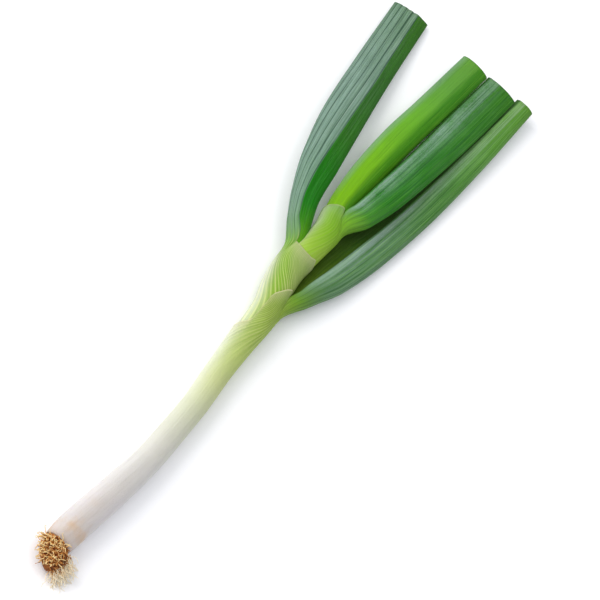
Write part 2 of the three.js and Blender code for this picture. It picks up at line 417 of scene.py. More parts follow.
def mark_grid(*values):
    """One tuple for each spot of a grid: UV across and along, then the values that VALUES names."""
    shape = np.broadcast(*values).shape
    stacked = np.stack([np.broadcast_to(p, shape) for p in values], -1)
    out = np.empty(shape, object)
    for spot in np.ndindex(shape):
        out[spot] = tuple(stacked[spot])
    return out


def band(table, x, angle):
    """How strongly a streak of colour shows, from its table of angle, spread and strength; the pale streaks
    are partly painted highlight, and the vivid one on the outer leaf's white shaft is painted shade.
    """
    row = read_table(table, x)
    away = wrapped(angle - row[..., 0])
    return row[..., 2] * np.exp(-(away / row[..., 1]) ** 2)


def sheathed_leaf(name, material, shaft_lines=10):
    """A leaf whose closed sheath opens at its rim and goes on as a blade on one side."""
    leaf = LEAVES[name]
    notch, split = leaf["notch"], leaf["split"]
    edge = notch / 180.0
    tip = leaf["blade"][-1][0]
    rows_shaft = np.linspace(FOOT, SHAFT_TOP, shaft_lines)
    rows_near = np.linspace(SHAFT_TOP, split, int((split - SHAFT_TOP) / ROW_STEP))[1:]
    rows_close = np.linspace(split, split + CLOSE_LENGTH, CLOSE_ROWS)[1:]
    rows_far = np.linspace(split + CLOSE_LENGTH, tip, FAR_ROWS)[1:]
    rows = np.concatenate([rows_shaft, rows_near, rows_close, rows_far])
    last = len(rows_shaft) + len(rows_near) - 1

    # q is the place round the ring, from -1 to 1 with the midline at 0, and p the place across the blade
    side = edge + (1.0 - edge) * np.linspace(0.0, 1.0, SIDE_COLUMNS + 1) ** SIDE_CROWDING
    q = np.concatenate([-side[::-1][:-1], np.linspace(-edge, edge, BLADE_COLUMNS + 1), side[1:]])[None, :]
    p = q / edge
    first_blade, last_blade = SIDE_COLUMNS, SIDE_COLUMNS + BLADE_COLUMNS
    blade = np.zeros(q.shape, bool)
    blade[0, first_blade:last_blade + 1] = True

    # the sheath's rows bend towards its rim
    rim_x = read_table(leaf["rim"], np.clip(np.abs(q) * 180.0, notch, 180.0))[..., 0]
    x = np.repeat(rows[:, None], q.shape[1], 1)
    start = min(split, *(place for _, place in leaf["rim"])) - RIM_BEND
    part = np.clip((x - start) / (split - start), 0.0, 1.0)
    x = np.where((x > start) & ~blade, start + part * (rim_x - start), x)

    # free is 0 where a point belongs to the sheath's ring and 1 where it belongs to the blade's section
    loosens = split - leaf["lead"] * (1.0 - np.clip(np.abs(p), 0.0, 1.0) ** 2)
    free = smoothstep((x - loosens) / (split + TRAIL - loosens))
    free = np.where(blade, free, 0.0)

    below_rim = np.clip(rim_x - x, 0.0, None)
    thinned = np.where(blade, 0.0, np.exp(-below_rim / RIM_THINS))
    rim_mark = np.where(blade, 0.0, np.exp(-below_rim / RIM_TINT))
    wall = SHEATH_WALL + (RIM_WALL - SHEATH_WALL) * thinned

    angle = leaf["midline"] + 180.0 * q + 0.0 * x
    middle = leaf["midline"] + read_table(leaf.get("turn", NOUGHT), x)[..., 0]
    outer_angle = middle + leaf["cover"] * p
    inner_angle = middle + 180.0 - (180.0 - leaf["cover"] - MARGIN) * p
    outer_ring = ring_point(leaf["sheath"], x, angle, -RIM_FLARE * thinned)
    inner_ring = ring_point(leaf["sheath"], x, angle, wall)
    outer = outer_ring + (blade_point(leaf, x, outer_angle, 0.0) - outer_ring) * free[..., None]
    inner = inner_ring + (blade_point(leaf, x, inner_angle, 0.0) - inner_ring) * free[..., None]

    present = blade | (np.arange(len(rows))[:, None] <= last)
    shell = Shell()
    outer_index = np.where(present, shell.add_points(outer), -1)
    inner_index = np.where(present, shell.add_points(inner), -1)
    for index in (outer_index, inner_index):
        index[:last + 1, -1] = index[:last + 1, 0]

    reach = smoothstep((x - (split - VEINS_FROM)) / VEINS_EASE)
    vein = 0.5 * 180.0 * q / (180.0 + (notch - 180.0) * reach)
    across = np.where(blade, p, np.sign(q))
    # pale streaks, partly painted highlight, and vivid ones, with painted shade along the outer leaf's shaft
    streak_and_light_bands = (band(leaf["pale"], x, angle), band(leaf["vivid"], x, angle))
    outer_marks = mark_grid(vein, x * UV_LENGTH, 0.0, rim_mark, across, free, *streak_and_light_bands)
    inner_marks = mark_grid(vein, x * UV_LENGTH, 1.0, rim_mark, across, free, *streak_and_light_bands)

    shell.grid(outer_index, outer_marks)
    shell.grid(inner_index, inner_marks, flip=True)
    # the rim of the sheath on both sides of the blade, the blade's two margins and the foot
    for spots in (
        (last, slice(0, first_blade + 1)), (last, slice(last_blade, None)),
        (slice(last, None), first_blade), (slice(last, None), last_blade), 0,
    ):
        shell.strip(outer_index[spots], inner_index[spots], outer_marks[spots], inner_marks[spots])

    # the cut tip: its edge turns in to a hollow that closes further back
    pick = (-1, slice(first_blade, last_blade + 1))
    pairs = ((outer_index, inner_index), (outer_angle, inner_angle), (outer_marks, inner_marks))
    hollow(shell, leaf, *(np.concatenate([over[pick], under[pick][::-1]]) for over, under in pairs), tip)
    shell.leaf(name, material)


def hollow(shell, leaf, loop, loop_angle, loop_marks, tip):
    """The open end of a blade: a thin wall round a hollow that goes back and closes at a point."""
    inside = [(mark[0], mark[1], 1.0, 0.0, mark[4], 1.0, 0.0, 0.0) for mark in loop_marks]
    inside.append(inside[0])
    before = np.append(loop, loop[0])
    for back in HOLLOW_RINGS:
        x = np.full(len(loop_angle), tip - back)
        ring = shell.add_points(blade_point(leaf, x, loop_angle, BLADE_WALL + back * HOLLOW_TAPER))
        ring = np.append(ring, ring[0])
        shell.strip(before, ring, inside, inside)
        before = ring
    shell.close(before, inside, leaf["blade"], tip - HOLLOW_RINGS[-1] - HOLLOW_POINT)


def centre_leaf(name, material):
    """The youngest leaf: one smooth hollow tube from the plate to its cut tip."""
    leaf = LEAVES[name]
    tip = leaf["blade"][-1][0]
    rows = np.concatenate([np.linspace(FOOT, 20.0, 12), np.linspace(20.0, tip, 110)[1:]])
    angle = np.linspace(0.0, 360.0, 97)[None, :] + 0.0 * rows[:, None]
    x = rows[:, None] + 0.0 * angle
    shell = Shell()
    index = shell.add_points(ring_point(leaf["blade"], x, angle, 0.0))
    index[:, -1] = index[:, 0]
    free = smoothstep((x - leaf["split"]) / 60.0)
    across = np.cos(np.radians(angle))
    marks = mark_grid((angle - 180.0) / 360.0, x * UV_LENGTH, 0.0, 0.0, across, free, 0.0, 0.0)
    shell.grid(index, marks)
    hollow(shell, leaf, index[-1, :-1], angle[-1, :-1], marks[-1, :-1], tip)
    shell.close(index[0], marks[0], leaf["blade"], FOOT)
    shell.leaf(name, material)


# ---------------- node tools

class Tree:
    """A node tree, with one method that makes its nodes."""

    def node(self, kind, settings=None, **values):
        """A node of the given type: its settings first, then the values or links of its sockets."""
        made = self.tree.nodes.new(kind)
        for key, value in (settings or {}).items():
            if key == "stops":
                self.set_stops(made.color_ramp, value)
            else:
                setattr(made, key, value)
        for key, value in values.items():
            self.feed(find_input(made, key), value)
        return made

    def set_stops(self, ramp, stops):
        while len(ramp.elements) > 1:
            ramp.elements.remove(ramp.elements[-1])
        ramp.elements[0].position = stops[0][0]
        ramp.elements[0].color = colour(stops[0][1])
        for place, value in stops[1:]:
            ramp.elements.new(place).color = colour(value)

    def feed(self, socket, value):
        if isinstance(value, Field):
            value = value.socket
        if isinstance(value, bpy.types.NodeSocket):
            self.tree.links.new(value, socket)
        else:
            socket.default_value = value

    def field(self, made, output=0):
        return Field(self, made.outputs[output])

    def combine(self, x, y, z):
        return self.field(self.node("ShaderNodeCombineXYZ", X=x, Y=y, Z=z))

    def parts(self, vector):
        """The X, Y and Z of a vector."""
        made = self.node("ShaderNodeSeparateXYZ", Vector=vector)
        return [self.field(made, k) for k in range(3)]

    def vector(self, operation, *values):
        inputs = {f"_{k}": value for k, value in enumerate(values)}
        return self.field(self.node("ShaderNodeVectorMath", {"operation": operation}, **inputs))

    def scaled(self, vector, size):
        return self.field(self.node("ShaderNodeVectorMath", {"operation": "SCALE"}, _0=vector, Scale=size))

    def noise(self, place, scale, detail=2.0, rough=0.5, output=0):
        made = self.node("ShaderNodeTexNoise", Vector=place, Scale=scale, Detail=detail, Roughness=rough)
        return self.field(made, output)


class Sheet(Tree):
    """The node tree of one material."""

    def __init__(self, name):
        self.material = bpy.data.materials.new(name)
        self.material.use_nodes = True
        self.tree = self.material.node_tree
        self.tree.nodes.clear()

    def attribute(self, name):
        return self.field(self.node("ShaderNodeAttribute", {"attribute_name": name}), "Fac")

    def place(self):
        """The place on the piece, in metres in the frame."""
        return self.field(self.node("ShaderNodeTexCoord"), "Object")

    def blend(self, share, first, second):
        """Two colours mixed: share 0 keeps the first."""
        first, second = (colour(c) if isinstance(c, tuple) else c for c in (first, second))
        return self.field(self.node("ShaderNodeMix", {"data_type": "RGBA"}, _0=share, _6=first, _7=second), 2)

    def ramp(self, value, stops):
        """Colours laid out along a value."""
        return self.field(self.node("ShaderNodeValToRGB", {"stops": stops}, Fac=value), "Color")

    def bump(self, height, strength, distance):
        made = self.node("ShaderNodeBump", Strength=strength, Distance=distance, Height=height)
        return self.field(made)

    def finish(self, **surface):
        """The surface shader and the output."""
        shader = self.node("ShaderNodeBsdfPrincipled", **surface)
        self.node("ShaderNodeOutputMaterial", Surface=shader.outputs[0])
        return self.material


def find_input(node, key):
    """An input by its name, with underscores for spaces, or by its number as _1."""
    if key[0] == "_":
        return node.inputs[int(key[1:])]
    return node.inputs[key.replace("_", " ")]


def operator(operation):
    """An operator and its reflected form, each of which adds a Math node."""
    return (
        lambda left, right: left.maths(operation, left, right),
        lambda right, left: right.maths(operation, left, right),
    )


class Field:
    """One socket of a tree, with the operators that the expressions use."""

    __add__, __radd__ = operator("ADD")
    __sub__, __rsub__ = operator("SUBTRACT")
    __mul__, __rmul__ = operator("MULTIPLY")
    __truediv__, __rtruediv__ = operator("DIVIDE")
    __pow__, __rpow__ = operator("POWER")

    def __init__(self, sheet, socket):
        self.sheet = sheet
        self.socket = socket

    def maths(self, operation, *values, clamp=False):
        settings = {"operation": operation, "use_clamp": clamp}
        inputs = {f"_{k}": value for k, value in enumerate(values)}
        return self.sheet.field(self.sheet.node("ShaderNodeMath", settings, **inputs))

    def __neg__(self):
        return self.maths("MULTIPLY", self, -1.0)

    def sin(self):
        return self.maths("SINE", self)

    def cos(self):
        return self.maths("COSINE", self)

    def held(self):
        """Kept between 0 and 1."""
        return self.maths("ADD", self, 0.0, clamp=True)

    def rise(self, low, high):
        """0 below low and 1 above high, eased between them; the other way round if low is the larger."""
        settings = {"interpolation_type": "SMOOTHSTEP"}
        return self.sheet.field(
            self.sheet.node("ShaderNodeMapRange", settings, _0=self, _1=low, _2=high, _3=0.0, _4=1.0)
        )


def colour(value):
    """An sRGB colour of 0 to 255 as the linear colour that a socket holds."""
    out = []
    for part in value:
        part /= 255.0
        out.append(part / 12.92 if part <= 0.04045 else ((part + 0.055) / 1.055) ** 2.4)
    return (*out, 1.0)


# ---------------- leaf finish

# Colours along the onion: the place in millimetres, then the colour.
OUTER_FLESH = (
    (-212, (214, 198, 188)), (-203, (222, 216, 212)), (-185, (226, 221, 219)), (-150, (224, 222, 216)),
    (-128, (220, 219, 206)), (-104, (208, 212, 180)), (-80, (200, 208, 146)), (-58, (184, 200, 116)),
    (-38, (162, 186, 86)), (-18, (148, 178, 68)), (-4, (104, 148, 46)), (14, (66, 116, 50)),
    (60, (58, 120, 24)), (120, (62, 126, 22)), (170, (80, 144, 24)), (207, (80, 144, 10)),
)
LEFT_FLESH = (
    (-212, (226, 224, 222)), (-60, (194, 206, 146)), (-34, (176, 196, 110)), (-12, (158, 180, 92)),
    (6, (150, 178, 86)), (20, (120, 166, 62)), (30, (76, 138, 36)), (44, (52, 112, 32)),
    (70, (40, 98, 36)), (110, (44, 90, 42)), (170, (46, 86, 40)), (208, (54, 94, 38)),
)
RIGHT_FLESH = (
    (-212, (226, 224, 222)), (0, (176, 206, 84)), (26, (164, 198, 70)), (40, (140, 188, 48)),
    (52, (124, 178, 52)), (64, (62, 138, 16)), (80, (36, 122, 4)), (120, (36, 116, 12)),
    (170, (42, 112, 14)), (204, (44, 112, 6)),
)
CENTRE_FLESH = (
    (-212, (226, 224, 222)), (0, (160, 188, 74)), (54, (122, 176, 26)), (64, (116, 174, 10)),
    (100, (112, 174, 24)), (140, (100, 166, 40)), (175, (92, 152, 56)), (204, (92, 148, 54)),
)
INNER_OUTER = ((-212, (220, 220, 196)), (0, (80, 106, 16)), (60, (48, 80, 8)), (206, (50, 96, 26)))
INNER_LEFT = (
    (-212, (220, 220, 196)), (20, (80, 156, 16)), (34, (20, 130, 0)), (70, (26, 122, 4)),
    (100, (48, 114, 24)), (140, (54, 110, 38)), (208, (52, 110, 18)),
)
INNER_RIGHT = ((-212, (220, 220, 196)), (50, (70, 120, 24)), (100, (38, 90, 18)), (206, (38, 84, 22)))
INNER_CENTRE = ((-212, (220, 220, 196)), (206, (48, 92, 14)))
WAX = (
    (-212, (180, 186, 170)), (0, (140, 166, 142)), (40, (136, 164, 150)), (140, (140, 168, 154)),
    (206, (126, 158, 134)),
)
OUTER_WAX = (
    (-212, (180, 186, 170)), (0, (130, 164, 138)), (60, (142, 166, 156)), (130, (146, 176, 148)),
    (206, (160, 190, 146)),
)
# Colours of the vivid streaks; the greys at the foot are painted shade along the top of the white shaft.
VIVID_AND_SHADE = (
    (-212, (190, 178, 168)), (-150, (190, 186, 178)), (-110, (188, 190, 166)), (-80, (180, 194, 130)),
    (-60, (164, 190, 84)), (-20, (134, 176, 26)), (0, (126, 182, 4)), (30, (118, 178, 8)),
    (206, (80, 150, 20)),
)

# The colour of the pale streaks, partly painted highlight on the side towards the light.
PALE_STREAK_AND_HIGHLIGHT = (246, 248, 234)
# The dark green of a leaf's side that faces away from the light: painted shade.
SHADED_SIDE_GREEN = (44, 116, 8)
DEEP_GREEN = (16, 66, 16)
DARK_FLECK = (30, 84, 24)
GREY_HAIR = (168, 162, 150)
FOLD_SHADE = (26, 62, 44)
VEIN_LIGHT = (236, 240, 158)
VEIN_DARK = (112, 160, 30)
EARTH_STAIN = (206, 160, 104)

# Veins that fan out on the sheath and folds on the blade, counted once round, and how far streaks bend them.
VEINS = 13.0
VEIN_SWAY = 3.0
FOLDS = 10.0
FOLD_SWAY = 3.4


def share_along(place):
    """A place in millimetres along the onion as a share of its length."""
    return (place - FOOT) / REACH


def along_mask(along, low, high):
    """A mask that rises between two places in millimetres along the onion."""
    return along.rise(share_along(low), share_along(high))


def outer_wax_and_highlight(along, across):
    """The outer leaf is waxiest on its crest, its inner edge and its first part; on the crest and the inner
    edge the pale wax is partly painted highlight.
    """
    near = 1.0 - along_mask(along, 50.0, 120.0)
    return 0.14 + 0.2 * near + 0.5 * across.rise(-0.55, -0.95) + 0.28 * across.rise(-0.3, 0.0)


def left_wax(along, across):
    """The left leaf is waxy all over."""
    return across.rise(0.95, 0.45) * 0.22 + 0.62


def right_wax_and_highlight(along, across):
    """The right leaf is waxy on its crest, where the pale wax is partly painted highlight."""
    return 0.06 + 0.66 * across.rise(-0.5, -0.95)


def centre_wax_and_highlight(along, across):
    """The centre leaf has a little wax on the side towards the light, which is partly painted highlight."""
    return across.rise(0.5, 1.0) * 0.5


def leaf_finish(
    name, flesh, inner_flesh, wax_colour, wax_and_highlight_share, wax_starts, wax_patches, streak, rim_skin=PALE_STREAK_AND_HIGHLIGHT,
    rim_edge_seen=0.0, rim_skin_seen=0.0, veins_seen=0.0, side_shade=0.0, creases=0.0, streaky=1.0,
):
    """Waxy leaf skin.

    The first three tables are colours along the onion: the outer face, the inner face and the wax.
    wax_and_highlight_share says how thick the wax lies, and on crests and edges also where its pale colour is
    painted highlight;
    wax_starts says where it begins, and wax_patches its level and how strongly three kinds of patches change
    it.
    streak and rim_skin are colours. The rest say how much shows of each thing.
    """
    s = Sheet(name)
    place = s.place()
    along = ((s.parts(place)[0] - (FOOT + COLLAR[0]) * MM) / (REACH * MM)).held()
    turn, length, _ = s.parts(s.node("ShaderNodeUVMap", {"uv_map": "leaf"}).outputs[0])
    turn = turn * (2.0 * math.pi)
    inner, rim, across, free, pale, vivid = [s.attribute(value) for value in VALUES]

    def colour_along(stops):
        return s.ramp(along, [(share_along(at), value) for at, value in stops])

    # streaks that run with the veins, in three widths, and two kinds of patches
    round_x = turn.cos()
    round_y = turn.sin()
    hair = s.noise(s.combine(round_x, round_y, length * 0.16), 26.0, 2.0, 0.6)
    fine = s.noise(s.combine(round_x, round_y, length * 0.1), 11.0, 3.0, 0.65)
    broad = s.noise(s.combine(round_x, round_y, length * 0.16), 4.5, 2.0, 0.5)
    cloudy = s.noise(place, 60.0, 3.0, 0.55)
    flecks = s.noise(s.combine(round_x * 3.0, round_y * 3.0, length * 6.0), 9.0, 3.0, 0.6)
    fan = (turn * VEINS + broad * VEIN_SWAY).sin()
    folds = (turn * FOLDS + broad * FOLD_SWAY).sin().rise(0.7, 1.0)

    # the flesh; its pale streaks, which are partly painted highlight; its vivid streaks, with painted shade
    # along the top of the white shaft; then the wax, which is partly painted highlight on crests and edges
    skin = s.blend(inner.rise(0.4, 0.6), colour_along(flesh), colour_along(inner_flesh))
    # painted shade: the side of the leaf away from the light is darkened towards a dark green
    skin = s.blend((across.rise(0.05, -0.45) * side_shade).held(), skin, SHADED_SIDE_GREEN)
    skin = s.blend((pale * 0.9).held(), skin, PALE_STREAK_AND_HIGHLIGHT)
    skin = s.blend((vivid * (0.75 + 0.5 * (fine - 0.5))).held(), skin, colour_along(VIVID_AND_SHADE))
    level, by_cloud, by_streak, by_fleck = wax_patches
    # the wax's pale colour; on crests and edges it is partly painted highlight
    wax = wax_and_highlight_share(along, across) * along_mask(along, *wax_starts) * (1.0 - inner)
    wax = wax * (level + by_cloud * (cloudy - 0.5) + by_streak * (broad - 0.5) + by_fleck * (flecks - 0.5))
    skin = s.blend(wax.held(), skin, colour_along(wax_colour))

    # dark and light streaks on the green part, grey ones on the white, and painted shade along the folds
    leafy = along.rise(0.3, 0.6) * (0.3 + 0.7 * free)
    lit = leafy * (1.0 - 0.75 * inner)
    for strength, tint in (
        (fine.rise(0.5, 0.72) * 0.46 * streaky * leafy, DEEP_GREEN),
        (hair.rise(0.5, 0.74) * 0.48 * streaky * leafy, DEEP_GREEN),
        (hair.rise(0.49, 0.28) * 0.3 * streaky * lit, streak),
        (flecks.rise(0.52, 0.72) * 0.22 * streaky * leafy, DARK_FLECK),
        (hair.rise(0.5, 0.75) * 0.14 * (1.0 - leafy), GREY_HAIR),
        (fine.rise(0.48, 0.26) * 0.4 * streaky * lit, streak),
        (folds * free * (1.0 - inner) * creases, FOLD_SHADE),
    ):
        skin = s.blend(strength.held(), skin, tint)

    # the veins that fan out over the sheath, earth at the foot, and the sheath's rim
    on_sheath = along_mask(along, -70.0, -34.0) * (1.0 - free.rise(0.1, 0.8)) * (1.0 - inner)
    on_sheath = on_sheath * (0.35 + 1.3 * fine.rise(0.35, 0.65)) * (1.0 - 0.6 * rim)
    for strength, tint in (
        (fan.rise(0.1, 1.0) * veins_seen * on_sheath, VEIN_LIGHT),
        (fan.rise(-0.2, -1.0) * veins_seen * 0.8 * on_sheath, VEIN_DARK),
        (cloudy.rise(0.5, 0.72) * (1.0 - along_mask(along, -204.0, -176.0)) * 0.5, EARTH_STAIN),
        (rim.rise(0.02, 0.7) * rim_skin_seen, rim_skin),
        (rim.rise(0.82, 0.97) * rim_edge_seen, rim_skin),
    ):
        skin = s.blend(strength.held(), skin, tint)

    rough = 0.52 + 0.14 * wax + 0.14 * (fine - 0.5)
    height = fine * 0.6 + hair * 0.5 + fan * 0.06 * on_sheath + broad * 0.3 - folds * creases * 0.2
    return s.finish(
        Base_Color=skin,
        Roughness=rough.held(),
        Normal=s.bump(height, 0.9, 0.0008),
        Subsurface_Weight=0.1,
        Subsurface_Radius=(0.004, 0.005, 0.002),
        Subsurface_Scale=1.0,
        Specular_IOR_Level=0.14,
        IOR=1.42,
    )


sheathed_leaf("outer_leaf", leaf_finish(
    "outer leaf skin", OUTER_FLESH, INNER_OUTER, OUTER_WAX, outer_wax_and_highlight, (-8.0, 18.0), (0.9, 0.9, 3.2, 1.4),
    (152, 194, 120), (232, 226, 176), rim_edge_seen=0.75, rim_skin_seen=0.3, veins_seen=0.26, creases=0.25,
), shaft_lines=44)
sheathed_leaf("left_leaf", leaf_finish(
    "left leaf skin", LEFT_FLESH, INNER_LEFT, WAX, left_wax, (14.0, 38.0), (0.94, 0.5, 0.9, 0.8),
    (172, 194, 178), (222, 224, 164), rim_edge_seen=0.6, rim_skin_seen=0.4, veins_seen=0.34, creases=0.72,
))
sheathed_leaf("right_leaf", leaf_finish(
    "right leaf skin", RIGHT_FLESH, INNER_RIGHT, WAX, right_wax_and_highlight, (48.0, 66.0), (0.8, 2.0, 2.6, 2.6),
    (108, 172, 72), (196, 220, 130), rim_edge_seen=0.5, rim_skin_seen=0.12, veins_seen=0.07, creases=0.3,
))
centre_leaf("centre_leaf", leaf_finish(
    "centre leaf skin", CENTRE_FLESH, INNER_CENTRE, WAX, centre_wax_and_highlight, (56.0, 90.0), (1.0, 0.0, 0.0, 0.0),
    (150, 206, 70), side_shade=0.8, streaky=0.45,
))

# ---------------- root end

PLATE_AT = np.array(SHAFT[0][:3])
PLATE_RADIUS = 8.0
PLATE_DEPTH = 14.0
PLATE_DROOP = 0.2
PLATE_SLEW = 0.4
PLATE_ROUNDING = 0.99
PLATE_NECK = 6.88
PLATE_BACK = 1.2
PLATE_RINGS = 26
PLATE_AROUND = 72
PLATE_TURN = math.atan2(SHAFT[1][1] - SHAFT[0][1], SHAFT[1][0] - SHAFT[0][0])
OUT = np.array((-math.cos(PLATE_TURN), -math.sin(PLATE_TURN), 0.0))
SIDE = np.array((-math.sin(PLATE_TURN), math.cos(PLATE_TURN), 0.0))
UP = np.array((0.0, 0.0, 1.0))
BED_DEPTH = 0.3
BED_STEPS = 6
ROOT_POINTS = 9
ROOT_SIDES = 5
CURL_CHANGE = 2600.0


def plate_point(radius, angle, rise):
    """A point of the plate in the frame: radius and angle on its disc, and how far it stands out."""
    at = PLATE_AT + SIDE * (radius * math.cos(angle)) + UP * (radius * math.sin(angle)) + OUT * rise
    at = at - (UP * PLATE_DROOP + SIDE * PLATE_SLEW) * max(rise, 0.0)
    return (at + COLLAR) * MM


def plate_rise(radius):
    """The height of the plate's dome."""
    t = min(radius / PLATE_RADIUS, 1.0)
    return PLATE_DEPTH * math.sqrt(max(1.0 - t * t * PLATE_ROUNDING, 0.0))


def knobs(at, scale, seed):
    return noise.noise(Vector(at) * scale + Vector((seed, 0.3 * seed, 7.0)))


def corky_plate(material):
    """The hard brown disc that the roots grow from, knobbly where old roots have dropped off."""
    points = []
    for i in range(PLATE_RINGS + 1):
        radius = PLATE_RADIUS * (i + 0.02) / (PLATE_RINGS + 0.02)
        for k in range(PLATE_AROUND):
            angle = 2 * math.pi * k / PLATE_AROUND
            at = plate_point(radius, angle, plate_rise(radius))
            bump = 0.5 * knobs(at, 900.0, 3.0) + 0.3 * abs(knobs(at, 2100.0, 8.0))
            points.append(plate_point(radius * (1.0 + 0.02 * bump), angle, plate_rise(radius) + bump))
    for k in range(PLATE_AROUND):
        points.append(plate_point(PLATE_NECK, 2 * math.pi * k / PLATE_AROUND, -PLATE_BACK))
    index = np.arange(len(points)).reshape(-1, PLATE_AROUND)
    after = np.roll(index, -1, axis=1)
    faces = np.stack([index[:-1], after[:-1], after[1:], index[1:]], -1).reshape(-1, 4).tolist()
    faces += [index[0].tolist(), index[-1].tolist()]
    mesh = bpy.data.meshes.new("basal_plate_cork")
    mesh.from_pydata([tuple(p) for p in points], [], faces)
    finish_mesh(mesh, material)
    settle("basal_plate_cork", mesh, ["basal_plate"])


def bed(low, high, first, last):
    """The patch of plate that roots grow from, between two shares of its radius and two angles in degrees."""
    points = []
    faces = []
    for i in range(BED_STEPS):
        for k in range(BED_STEPS):
            faces.append([len(points) + n for n in (3, 2, 1, 0)])
            for di, dk in ((0, 0), (1, 0), (1, 1), (0, 1)):
                radius = PLATE_RADIUS * (low + (high - low) * (i + di) / BED_STEPS)
                angle = math.radians(first + (last - first) * (k + dk) / BED_STEPS)
                points.append(tuple(plate_point(radius, angle, plate_rise(radius) - BED_DEPTH)))
    mesh = bpy.data.meshes.new("bed")
    mesh.from_pydata(points, [], faces)
    made = bpy.data.objects.new("bed", mesh)
    bpy.context.scene.collection.objects.link(made)
    return made


class Growth(Tree):
    """A Geometry Nodes tree whose named inputs are its sizes, in metres."""

    def __init__(self, name):
        self.tree = bpy.data.node_groups.new(name, "GeometryNodeTree")
        self.sizes = {}
        self.size("Geometry", "NodeSocketGeometry")
        self.tree.interface.new_socket("Geometry", in_out="OUTPUT", socket_type="NodeSocketGeometry")
        for name in "Density Shortest Longest Thickness Spread Curl Curls Sag Ground".split():
            self.size(name, "NodeSocketFloat")
        self.size("Lean", "NodeSocketVector")
        self.size("Seed", "NodeSocketInt")
        self.size("Finish", "NodeSocketMaterial")
        self.start = self.node("NodeGroupInput")

    def size(self, name, kind):
        self.sizes[name] = self.tree.interface.new_socket(name, in_out="INPUT", socket_type=kind).identifier

    def given(self, name):
        return self.field(self.start, name)

    def geometry(self, kind, settings=None, **values):
        """The first output of a node that makes or changes geometry."""
        return self.field(self.node(f"GeometryNode{kind}", settings, **values))

    def stored(self, geometry, name, kind, value):
        settings = {"data_type": kind, "domain": "POINT"}
        return self.geometry("StoreNamedAttribute", settings, Geometry=geometry, Name=name, Value=value)

    def named(self, name, kind):
        return self.geometry("InputNamedAttribute", {"data_type": kind}, Name=name)

    def chance(self, low, high, seed):
        """A random number for each point, or a random vector if low and high are vectors."""
        if isinstance(low, tuple):
            settings = {"data_type": "FLOAT_VECTOR"}
            return self.field(self.node("FunctionNodeRandomValue", settings, _0=low, _1=high, Seed=seed), 0)
        settings = {"data_type": "FLOAT"}
        return self.field(self.node("FunctionNodeRandomValue", settings, _2=low, _3=high, Seed=seed), 1)


def root_growth():
    """Thin curly tubes that start on a bed, each with its own aim and length, sag, and lie on the ground."""
    g = Growth("roots on a bed")
    seed = g.given("Seed")
    spots = g.node(
        "GeometryNodeDistributePointsOnFaces", {"distribute_method": "RANDOM"},
        Mesh=g.given("Geometry"), Density=g.given("Density"), Seed=seed,
    )
    jitter = g.scaled(g.chance((-1.0, -1.0, -1.0), (1.0, 1.0, 1.0), seed + 1), g.given("Spread"))
    leaning = g.vector("ADD", g.field(spots, "Normal"), g.given("Lean"))
    aim = g.vector("NORMALIZE", g.vector("ADD", leaning, jitter))
    points = g.stored(g.field(spots, "Points"), "aim", "FLOAT_VECTOR", aim)
    points = g.stored(points, "reach", "FLOAT", g.chance(g.given("Shortest"), g.given("Longest"), seed + 2))
    points = g.stored(points, "foot", "FLOAT_VECTOR", g.geometry("InputPosition"))

    # one straight line for each root, which knows how far along itself each of its points is
    stalk = g.geometry("CurvePrimitiveLine", Start=(0.0, 0.0, 0.0), End=(0.0, 0.0, 0.001))
    stalk = g.geometry("ResampleCurve", Curve=stalk, Count=ROOT_POINTS)
    stalk = g.stored(stalk, "along", "FLOAT", g.field(g.node("GeometryNodeSplineParameter"), "Factor"))
    lines = g.geometry("InstanceOnPoints", Points=points, Instance=stalk)
    lines = g.geometry("RealizeInstances", Geometry=lines)

    # the line takes its root's course: out along its aim, down by its sag, and curling more and more
    along = g.named("along", "FLOAT")
    foot = g.named("foot", "FLOAT_VECTOR")
    reach = g.named("reach", "FLOAT")
    run = g.scaled(g.named("aim", "FLOAT_VECTOR"), reach * along)
    sag = g.combine(0.0, 0.0, -(g.given("Sag") * reach * along ** 2.0))
    track = g.vector("ADD", g.scaled(foot, CURL_CHANGE), g.combine(along * g.given("Curls"), 0.0, 0.0))
    wobble = g.vector("SUBTRACT", g.noise(track, 1.0, 1.0, output="Color"), (0.5, 0.5, 0.5))
    wobble = g.scaled(wobble, g.given("Curl") * along ** 0.7)
    where = g.vector("ADD", g.vector("ADD", foot, run), g.vector("ADD", sag, wobble))
    x, y, z = g.parts(where)
    where = g.combine(x, y, z.maths("MAXIMUM", z, g.given("Ground")))
    lines = g.geometry("SetPosition", Geometry=lines, Position=where)

    thick = g.given("Thickness") * (1.0 - 0.55 * along) * g.chance(0.7, 1.2, seed + 3)
    ring = g.geometry("CurvePrimitiveCircle", {"mode": "RADIUS"}, Resolution=ROOT_SIDES, Radius=1.0)
    tubes = g.geometry("CurveToMesh", Curve=lines, Profile_Curve=ring, Scale=thick, Fill_Caps=True)
    tubes = g.geometry("SetShadeSmooth", Geometry=tubes)
    tubes = g.geometry("RealizeInstances", Geometry=tubes)
    tubes = g.geometry("SetMaterial", Geometry=tubes, Material=g.given("Finish"))
    g.node("NodeGroupOutput", Geometry=tubes)
    return g


def grow(growth, name, patch, nodes, **sizes):
    """Runs a tree on a bed and keeps the result as a plain piece."""
    modifier = patch.modifiers.new("growth", "NODES")
    modifier.node_group = growth.tree
    for label, value in sizes.items():
        modifier[growth.sizes[label]] = value
    ready = patch.evaluated_get(bpy.context.evaluated_depsgraph_get())
    mesh = bpy.data.meshes.new_from_object(ready)
    mesh.name = name
    bpy.data.objects.remove(patch)
    settle(name, mesh, nodes)


